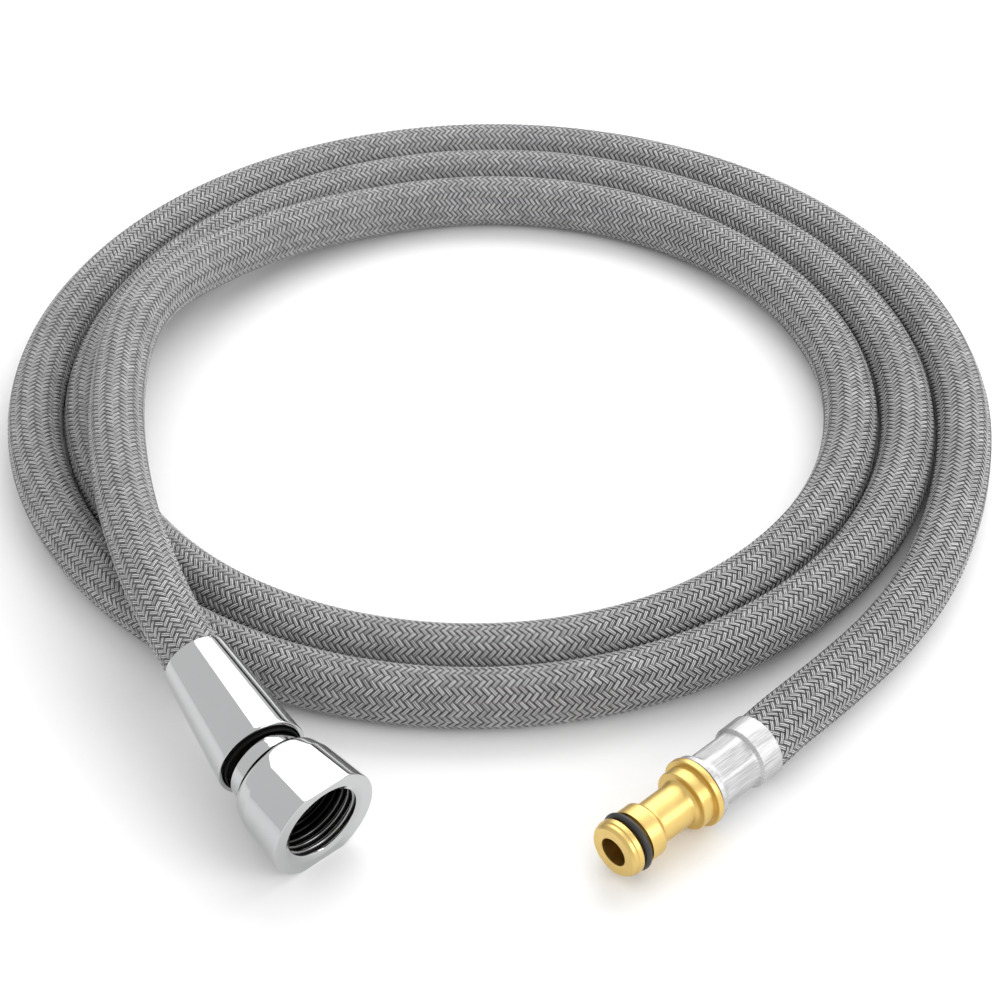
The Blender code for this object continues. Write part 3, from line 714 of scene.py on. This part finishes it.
def bore_material():
    """The thread: duller than the outside, with painted shade that makes it darker than the outside and near
    black deep in, and rings from the tap.
    """
    graph = Graph("dull_threaded_bore", Metallic=1.0)
    place = graph.node("ShaderNodeTexCoord").outputs["Object"]
    stain = graph.noise(place, 220.0, 4.0)
    # Painted shade, with stains: the whole bore is painted darker than the outside, in uneven patches.
    stain_and_painted_shade = graph.colour_mix(stain, (0.30, 0.30, 0.30, 1.0), (0.48, 0.48, 0.48, 1.0))
    height = graph.node("ShaderNodeSeparateXYZ", {"Vector": place}).outputs["Z"]
    # Painted shade: the colour darkens to near black from near the mouth to 7 mm into the bore.
    out_of_painted_shade = graph.between(height, 0.0, 1.0, NUT_FACE - DARKEST_SHADE_DEPTH, NUT_FACE - THREAD_START)
    graph.feed("Base Color", graph.colour_mix(out_of_painted_shade, PAINTED_BORE_SHADE, stain_and_painted_shade))
    graph.feed("Roughness", graph.between(stain, 0.16, 0.28))
    graph.feed("Normal", graph.bump(graph.noise(graph.scaled(place, (60.0, 60.0, 4000.0)), 1.0), 0.01 * MM))
    return graph.material


def turned_metal_material(name, low, high, roughness, mark_depth):
    """Machined metal: rings left by the tool round the local Z axis, and slow changes of tone."""
    graph = Graph(name, Metallic=1.0, Anisotropic=0.3)
    place = graph.node("ShaderNodeTexCoord").outputs["Object"]
    rings = graph.noise(graph.scaled(place, (40.0, 40.0, 6000.0)), 1.0, 3.0, 0.6)
    stain = graph.noise(place, 140.0, 4.0)
    graph.feed("Base Color", graph.colour_mix(stain, (*low, 1.0), (*high, 1.0)))
    graph.feed("Roughness", graph.math("ADD", graph.between(rings, roughness - 0.08, roughness + 0.08),
                                       graph.between(stain, -0.05, 0.05)))
    graph.feed("Normal", graph.bump(rings, mark_depth))
    return graph.material


def crimped_aluminium_material():
    """Soft aluminium with lengthwise drag marks from the crimping jaws."""
    graph = Graph("drawn_aluminium", Metallic=1.0)
    place = graph.node("ShaderNodeTexCoord").outputs["Object"]
    drag = graph.noise(graph.scaled(place, (4200.0, 4200.0, 130.0)), 1.0, 4.0, 0.65)
    cloud = graph.noise(place, 160.0, 4.0)
    tone = graph.math("ADD", graph.math("MULTIPLY", cloud, 0.4), graph.between(drag, -0.5, 1.1, 0.2, 0.8))
    tone = graph.node("ShaderNodeClamp", {"Value": tone}).outputs["Result"]
    graph.feed("Base Color", graph.colour_mix(tone, (0.34, 0.34, 0.345, 1.0), (0.68, 0.68, 0.685, 1.0)))
    graph.feed("Roughness", graph.math("ADD", graph.between(drag, 0.24, 0.60),
                                       graph.between(cloud, -0.04, 0.06)))
    graph.feed("Normal", graph.bump(drag, 0.06 * MM))
    return graph.material


def moulded_material(name, low, high, roughness, specular=0.5):
    """Moulded rubber or plastic: fine grain, slight bloom, uneven gloss."""
    graph = Graph(name, Specular_IOR_Level=specular)
    place = graph.node("ShaderNodeTexCoord").outputs["Object"]
    grain = graph.noise(place, 2500.0, 3.0)
    bloom = graph.noise(place, 170.0, 4.0)
    graph.feed("Base Color", graph.colour_mix(bloom, (*low, 1.0), (*high, 1.0)))
    graph.feed("Roughness", graph.between(bloom, roughness - 0.08, roughness + 0.08))
    graph.feed("Normal", graph.bump(grain, 0.01 * MM))
    return graph.material


def floor_material():
    """Matt white paper, very slightly uneven."""
    graph = Graph("pale_floor", Roughness=0.75)
    place = graph.node("ShaderNodeTexCoord").outputs["Object"]
    cloud = graph.noise(place, 3.0, 2.0)
    graph.feed("Base Color", graph.colour_mix(cloud, (0.93, 0.93, 0.93, 1.0), (0.95, 0.95, 0.95, 1.0)))
    return graph.material


# ---- stage ---------------------------------------------------------------------------------------

def make_floor():
    bpy.ops.mesh.primitive_plane_add(size=6.0)
    floor = bpy.context.active_object
    floor.name = "floor"
    floor.data.materials.append(floor_material())


def area_light(name, place, target, size, power):
    """A soft box in metres and watts, turned to face its target."""
    data = bpy.data.lights.new(name, "AREA")
    data.shape = "RECTANGLE"
    data.size, data.size_y = size
    data.energy = power
    light = bpy.data.objects.new(name, data)
    light.location = place
    light.rotation_euler = (Vector(target) - Vector(place)).to_track_quat("-Z", "Y").to_euler()
    bpy.context.scene.collection.objects.link(light)


def reflection_card(name, place, target, size):
    """A black card that only reflections see: it draws the dark lines along the bright metal."""
    bpy.ops.mesh.primitive_plane_add(size=1.0)
    card = bpy.context.active_object
    card.name = name
    card.scale = (*size, 1.0)
    card.location = place
    card.rotation_euler = (Vector(target) - Vector(place)).to_track_quat("Z", "Y").to_euler()
    card.data.materials.append(moulded_material("card_black", (0.01, 0.01, 0.01), (0.015, 0.015, 0.015), 0.9))
    card.visible_camera = False
    card.visible_diffuse = False
    card.visible_shadow = False


def make_light():
    world = bpy.data.worlds.new("studio")
    world.use_nodes = True
    world.node_tree.nodes["Background"].inputs["Color"].default_value = (1.0, 1.0, 1.0, 1.0)
    world.node_tree.nodes["Background"].inputs["Strength"].default_value = 0.88
    bpy.context.scene.world = world
    area_light("overhead_back", (0.37, 0.62, 0.62), (0.25, 0.0, 0.0), (1.30, 0.85), 7.2)
    area_light("front_right", (0.9, -0.55, 0.55), (0.0, 0.0, 0.0), (0.6, 0.5), 4.2)
    reflection_card("card_behind", (0.35, 0.95, 0.07), (0.0, 0.0, 0.02), (1.2, 0.16))
    bpy.context.scene.view_settings.view_transform = "Standard"


# ---- assembly ------------------------------------------------------------------------------------

def place_piece(piece, material, body, slot, *nodes):
    """Material, body, slot (not used) and the CAD nodes a new piece stands for."""
    piece.data.materials.clear()
    piece.data.materials.append(material)
    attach(piece, body)
    if nodes:
        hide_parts(*nodes)
    return piece


def main():
    make_camera()
    path = smooth_curve(hose_route(), ROUTE_SPACING)

    rubber = moulded_material("black_nitrile", (0.012, 0.012, 0.012), (0.03, 0.03, 0.03), 0.45)
    acetal = moulded_material("black_plastic", (0.002, 0.002, 0.002), (0.006, 0.006, 0.006), 0.6, 0.15)
    chrome = chrome_material()
    brass = turned_metal_material("satin_brass", (0.62, 0.43, 0.13), (0.78, 0.58, 0.22), 0.36, 0.02 * MM)
    steel = turned_metal_material("spring_wire", (0.50, 0.50, 0.52), (0.62, 0.62, 0.64), 0.30, 0.01 * MM)
    aluminium = crimped_aluminium_material()

    braid = place_piece(make_braid(path), braid_material(), "hose", "grey_braid", "braid_jacket")
    nut = place_piece(make_nut(), chrome, "nut", "chrome_plate", "swivel_nut")
    darken_bore(nut, bore_material())
    place_piece(make_washer(), rubber, "nut", "black_rubber", "nut_washer")
    place_piece(make_sleeve(), chrome, "sleeve", "chrome_plate", "tapered_sleeve")
    place_piece(make_neck_ring(), acetal, "sleeve", "black_acetal", "neck_ring")
    plug = place_piece(make_plug(), brass, "hose", "machined_brass", "quick_connect_plug")
    seal = place_piece(make_plug_seal(), rubber, "hose", "black_rubber", "plug_o_ring")
    ferrule = place_piece(make_ferrule(), aluminium, "hose", "crimped_aluminium", "valve_end_ferrule")

    kept = {"ball_seat_ring": acetal, "rear_bearing_ring": acetal, "ball_o_ring": rubber,
            "ball_stem": brass, "spray_end_ferrule": aluminium, "sleeve_snap_ring": steel,
            "inner_tube": moulded_material("liner_plastic", (0.62, 0.63, 0.63), (0.72, 0.73, 0.73), 0.4)}
    for node, material in kept.items():
        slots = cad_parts[node].data.materials
        slots.clear()
        slots.append(material)

    make_floor()
    make_light()


main()
